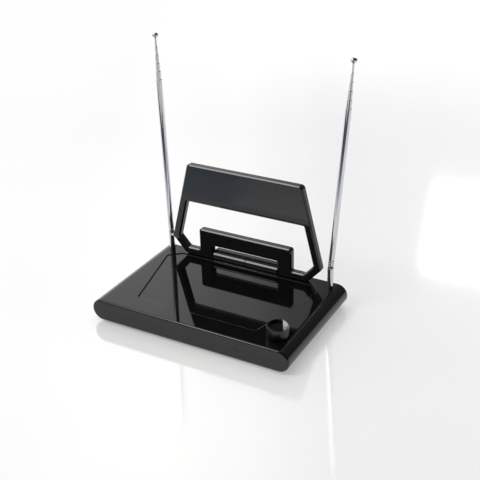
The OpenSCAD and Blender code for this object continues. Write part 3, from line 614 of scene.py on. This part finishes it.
def both_sides(half, radii):
    """Corners of the right half and their mirror image, with the radius of each."""
    return ([(x, v) for x, v in half] + [(-x, v) for x, v in reversed(half)], [*radii, *reversed(radii)])


outer_half = [(on_side(loop_v, 0), loop_v), (on_side(wide_at(0), 0), wide_at(0)),
              (on_low(loop_lift, 0), loop_lift), (cut_hw, loop_lift), (cut_hw, cut_top)]
outer_radii = [corner_r + 1.2, corner_r, corner_r, 2.2, 1.6]
window_v = loop_v - panel_h
wide_in = wide_at(leg_w)
window_half = [(on_side(window_v, leg_w), window_v), (on_side(wide_in, leg_w), wide_in),
               (on_low(bar_top, leg_w), bar_top), (tab_hw, bar_top), (tab_hw, tab_top)]
window_radii = [2, 2, 2, 1.2, 3.5]


def loop_gloss(tree, shader):
    """The same gloss in a slightly greyer black."""
    black_gloss(tree, shader, "#161617", "#1C1C1E")


abs_loop = finished("moulded_abs_gloss_black_loop", loop_gloss)


def loop_half(name, node, to_front):
    """One half shell, drawn flat with its chamfered face up and then stood up on the hinge line."""
    ring = raised(outline(*both_sides(outer_half, outer_radii), 0, 8), loop_t / 2)
    window = raised(outline(*both_sides(window_half, window_radii), -5, 8), 30)
    ring = carve(ring, [window])
    face_z = loop_t / 2
    rounded(ring, corners_of(ring, lambda co: co.z > face_z - 0.01, 1.2), bevel, 1)
    crest = corners_of(ring, lambda co: co.z > face_z - bevel - 0.01, 0.5, 1.0)
    crest = [e for e in crest if abs(e.verts[0].co.z - e.verts[1].co.z) < 0.01]
    rounded(ring, crest, 0.28, 3)
    rounded(ring, corners_of(ring, lambda co: co.z < 0.01, 1.2), 0.12, 1)
    if to_front:
        bmesh.ops.rotate(ring, cent=(0, 0, 0), matrix=Matrix.Rotation(math.pi / 2, 3, "X"), verts=ring.verts)
    else:
        bmesh.ops.rotate(ring, cent=(0, 0, 0), matrix=Matrix.Rotation(math.pi, 3, "Y"), verts=ring.verts)
        bmesh.ops.rotate(ring, cent=(0, 0, 0), matrix=Matrix.Rotation(math.pi / 2, 3, "X"), verts=ring.verts)
    bmesh.ops.translate(ring, vec=(loop_x, hinge_y, z_top), verts=ring.verts)
    bmesh.ops.recalc_face_normals(ring, faces=ring.faces)
    return piece(name, ring, abs_loop, "loop", [node])


loop_half("loop_shell_front", "loop_front", True)
loop_half("loop_shell_rear", "loop_rear", False)


# ---- Knob: turns the switch under the right front corner ----
# Black ABS, 22.8 mm across and 11.9 mm tall, grooved for grip, with a dished top and a sloping facet.
knob_r, knob_top, knob_base, knob_turn, flutes, dish_r = 11.4, z_top + 12.5, z_top + 0.6, 28, 36, 9.2
groove, dish_depth, facet_slope, shaft_r = 0.2, 2.6, 24, 3


def knob_plastic(tree, shader):
    """Semi-gloss black ABS that fingers have rubbed a little unevenly."""
    where = add(tree, "ShaderNodeTexCoord").outputs["Object"]
    rub = add(tree, "ShaderNodeTexNoise", i0=where, Scale=180.0, Detail=4.0).outputs[0]
    tone = ramp(tree, rub, [(0.35, linear("#0B0B0C")), (0.7, linear("#131315"))])
    tree.links.new(tone, shader.inputs["Base Color"])
    rough = add(tree, "ShaderNodeMapRange", i0=rub, i1=0.3, i2=0.7, i3=0.10, i4=0.2).outputs[0]
    tree.links.new(rough, shader.inputs["Roughness"])
    shader.inputs["IOR"].default_value = 1.54


grip = bmesh.new()
bmesh.ops.create_circle(grip, cap_ends=True, segments=flutes * 6, radius=knob_r)
bmesh.ops.translate(grip, vec=(0, 0, knob_base), verts=grip.verts)
for v in grip.verts:
    around = (math.degrees(math.atan2(v.co.y, v.co.x)) / (360 / flutes)) % 1
    dip = max(0.0, math.cos((around - 0.5) * 2 * math.pi)) ** 4 * groove
    v.co.x, v.co.y = v.co.x * (1 - dip / knob_r), v.co.y * (1 - dip / knob_r)
raised(grip, knob_top - knob_base)
rounded(grip, corners_of(grip, lambda co: co.z > knob_top - 0.01, 1.2), 0.7, 4)
dish = rod(dish_r, (0, 0, knob_top - dish_depth), 10, sides=96)
dish = carve(dish, [block((0.4 * dish_r, 40), (-40, 40), (-100, 100))])
slope = block((0, 40), (-40, 40), (0, 30))
tilt = Matrix.Rotation(math.radians(facet_slope), 3, "Y")
bmesh.ops.rotate(slope, cent=(0, 0, 0), matrix=tilt, verts=slope.verts)
bmesh.ops.translate(slope, vec=(dish_r * 0.55, 0, knob_top), verts=slope.verts)
grip = carve(grip, [dish, slope, rod(shaft_r, (0, 0, knob_base - 1), knob_top - 4 - knob_base + 1)])
rims = corners_of(grip, lambda co: co.z > knob_top - 2.5 and co.to_2d().length < knob_r - 0.3, 0.35)
rounded(grip, rims, 0.18, 2)
knob_spin = Matrix.Rotation(math.radians(knob_turn), 3, "Z")
bmesh.ops.rotate(grip, cent=(0, 0, 0), matrix=knob_spin, verts=grip.verts)
bmesh.ops.translate(grip, vec=(knob_x, knob_y, 0), verts=grip.verts)
abs_knob = finished("moulded_abs_semigloss_black", knob_plastic)
piece("knob_cap", grip, abs_knob, "knob", ["knob"], 40)


# ---- Telescopic rods: a slotted foot that swivels, a ringed socket, five tubes, a thin rod and a button ----
# Chrome-plated brass, from a 6.2 mm tube down to a 2 mm rod; each one slides in the one below it.
rod_lean, rod_turn = math.radians(4.3), math.radians(45)
tube_r, tube_step, tube_wall, tube_show = 3.1, 0.42, 0.32, 8.6
socket_low, socket_len, plug_len = 4, 7, 8
tube_bottom = socket_low + socket_len + plug_len + 1
fork_r, stud_r, slot_w, pin_r = 3.3, 2.6, 2.6, 1
stud_end, first_end, ring_heights = 12, 174, (0.8, 3.4, 6)


def chrome(tree, shader):
    """Bright chrome plate: cool white metal with hairline marks along the tube and a little haze."""
    where = add(tree, "ShaderNodeTexCoord").outputs["Object"]
    # hairlines 0.4 mm apart and some 40 mm long
    drawn = add(tree, "ShaderNodeMapping", i0=where, Scale=(2500.0, 2500.0, 25.0)).outputs[0]
    lines = add(tree, "ShaderNodeTexNoise", i0=drawn, Scale=1.0, Detail=2.0).outputs[0]
    tone = ramp(tree, lines, [(0.3, linear("#C8CBCF")), (0.7, linear("#DADCDF"))])
    tree.links.new(tone, shader.inputs["Base Color"])
    rough = add(tree, "ShaderNodeMapRange", i0=lines, i1=0.3, i2=0.7, i3=0.05, i4=0.13).outputs[0]
    tree.links.new(rough, shader.inputs["Roughness"])
    shader.inputs["Metallic"].default_value = 1.0


plate = finished("chrome_plated_brass", chrome)


def turned(profile, sides=48):
    """Solid of revolution about Z through (radius, height) points; the last one joins the first."""
    bm = bmesh.new()
    points = [bmesh.ops.create_vert(bm, co=(r, 0, z))["vert"][0] for r, z in profile]
    line = [bm.edges.new((points[i], points[(i + 1) % len(points)])) for i in range(len(points))
            if not (profile[i][0] == 0 and profile[(i + 1) % len(points)][0] == 0)]
    bmesh.ops.spin(bm, geom=[*points, *line], axis=(0, 0, 1), cent=(0, 0, 0), angle=2 * math.pi,
                   steps=sides, use_merge=True)
    bmesh.ops.remove_doubles(bm, verts=bm.verts, dist=1e-4)
    bmesh.ops.dissolve_degenerate(bm, dist=1e-4, edges=bm.edges)
    bmesh.ops.recalc_face_normals(bm, faces=bm.faces)
    return bm


def tube_radius(i):
    """Outer radius of a tube, counted from 0 at the foot; 5 is the thin rod."""
    return tube_r - i * tube_step


def tube_end(i):
    """Distance of a tube's mouth from the pivot when the rod is pushed in."""
    return first_end + i * tube_show


def soft_edge(r, z, size, to_up=True):
    """Three points of a rounded outer corner at radius r and height z."""
    s = 1 if to_up else -1
    points = [(r, z - s * size), (r - size * 0.3, z - s * size * 0.3), (r - size, z)]
    return points if to_up else points[::-1]


for name, s in (("left", -1), ("right", 1)):
    turn = Matrix.Rotation(rod_turn if s > 0 else math.pi - rod_turn, 4, "Z")
    upright = Matrix.Translation(Vector((s * rod_x, rod_y, pivot_z))) @ turn
    leaning = upright @ Matrix.Rotation(rod_lean, 4, "Y")

    # slotted foot on its stud
    shoulder = z_top + 0.3 - pivot_z
    stud_low = stud_end - pivot_z
    foot = turned([(0, stud_low), *soft_edge(stud_r, stud_low, 0.3, False), (stud_r, shoulder),
                   *soft_edge(fork_r, shoulder, 0.25, False), (fork_r, 0), (fork_r, 1.2),
                   *soft_edge(fork_r, fork_r, 1.9), (0, fork_r)])
    slot = block((-20, 20), (-slot_w / 2, slot_w / 2), (-socket_low, 20))
    foot = carve(foot, [slot, rod(pin_r, (0, -10, 0), 20, "Y", 24)])
    bmesh.ops.transform(foot, matrix=upright, verts=foot.verts)
    piece(name + "_foot", foot, plate, name + "_swivel", [name + "_fork"])

    # ringed socket with a flat tongue that sits in the foot's slot
    low, high_z = socket_low, socket_low + socket_len
    ring_r, collar_r = tube_r - 0.5, tube_r + 0.1
    profile = [(0, low), *soft_edge(collar_r, low, 0.2, False)]
    for h in ring_heights:
        z = low + h
        profile += [(collar_r, z - 0.12), (collar_r - 0.12, z), (ring_r, z + 0.08), (ring_r, z + 0.62),
                    (collar_r - 0.12, z + 0.7), (collar_r, z + 0.82)]
    plug_r = tube_r - tube_wall
    profile += [(collar_r, high_z), (plug_r, high_z), (plug_r, high_z + plug_len), (0, high_z + plug_len)]
    collar = turned(profile)
    tongue_w, tongue_r = slot_w - 0.6, socket_low - 1.2
    tongue = rod(tongue_r, (0, -tongue_w / 2, 0), tongue_w, "Y")
    neck = block((-tongue_r, tongue_r), (-tongue_w / 2, tongue_w / 2), (0, socket_low + 0.2))
    tongue = carve(tongue, [neck], "UNION")
    collar = carve(collar, [tongue], "UNION")
    collar = carve(collar, [rod(pin_r + 0.06, (0, -10, 0), 20, "Y", 24)])
    bmesh.ops.transform(collar, matrix=leaning, verts=collar.verts)
    piece(name + "_ringed_socket", collar, plate, name + "_outer", [name + "_socket"])

    # five tubes, each with the outer edge of its mouth rounded
    for i in range(5):
        r, r_in, end = tube_radius(i), tube_radius(i) - tube_wall, tube_end(i)
        start = high_z if i == 0 else tube_bottom + i
        mouth = [(r, end - 0.5), (r - 0.06, end - 0.22), (r - 0.2, end), (r_in, end)]
        tube = turned([(r_in, start), (r, start), *mouth])
        bmesh.ops.transform(tube, matrix=leaning, verts=tube.verts)
        body = name + "_outer" if i == 0 else f"{name}_section_{i + 1}"
        piece(f"{name}_sleeve_{i + 1}", tube, plate, body, [f"{name}_tube_{i + 1}"])

    # thin rod, and the button that it is pulled by
    thin_r, thin_low, base_z = tube_radius(5), tube_bottom + 5, tube_end(5)
    thin = turned([(0, thin_low), (thin_r, thin_low), (thin_r, base_z), (0, base_z)], 32)
    bmesh.ops.transform(thin, matrix=leaning, verts=thin.verts)
    piece(name + "_thin_rod", thin, plate, name + "_section_6", [name + "_rod_6"])
    tip_r, tip_h = 3.3, 5.2
    cone = [(0, 0), (thin_r + 0.6, 0), (tip_r - 0.35, 1.7), (tip_r, 2.1), (tip_r, 3.4)]
    dome = [(tip_r - 0.25, 4.2), (tip_r - 0.8, 4.85), (tip_r - 1.6, 5.15), (0, tip_h)]
    button = turned([(r, base_z + h) for r, h in (*cone, *dome)])
    bmesh.ops.transform(button, matrix=leaning, verts=button.verts)
    piece(name + "_button", button, plate, name + "_section_6", [name + "_tip"], 50)
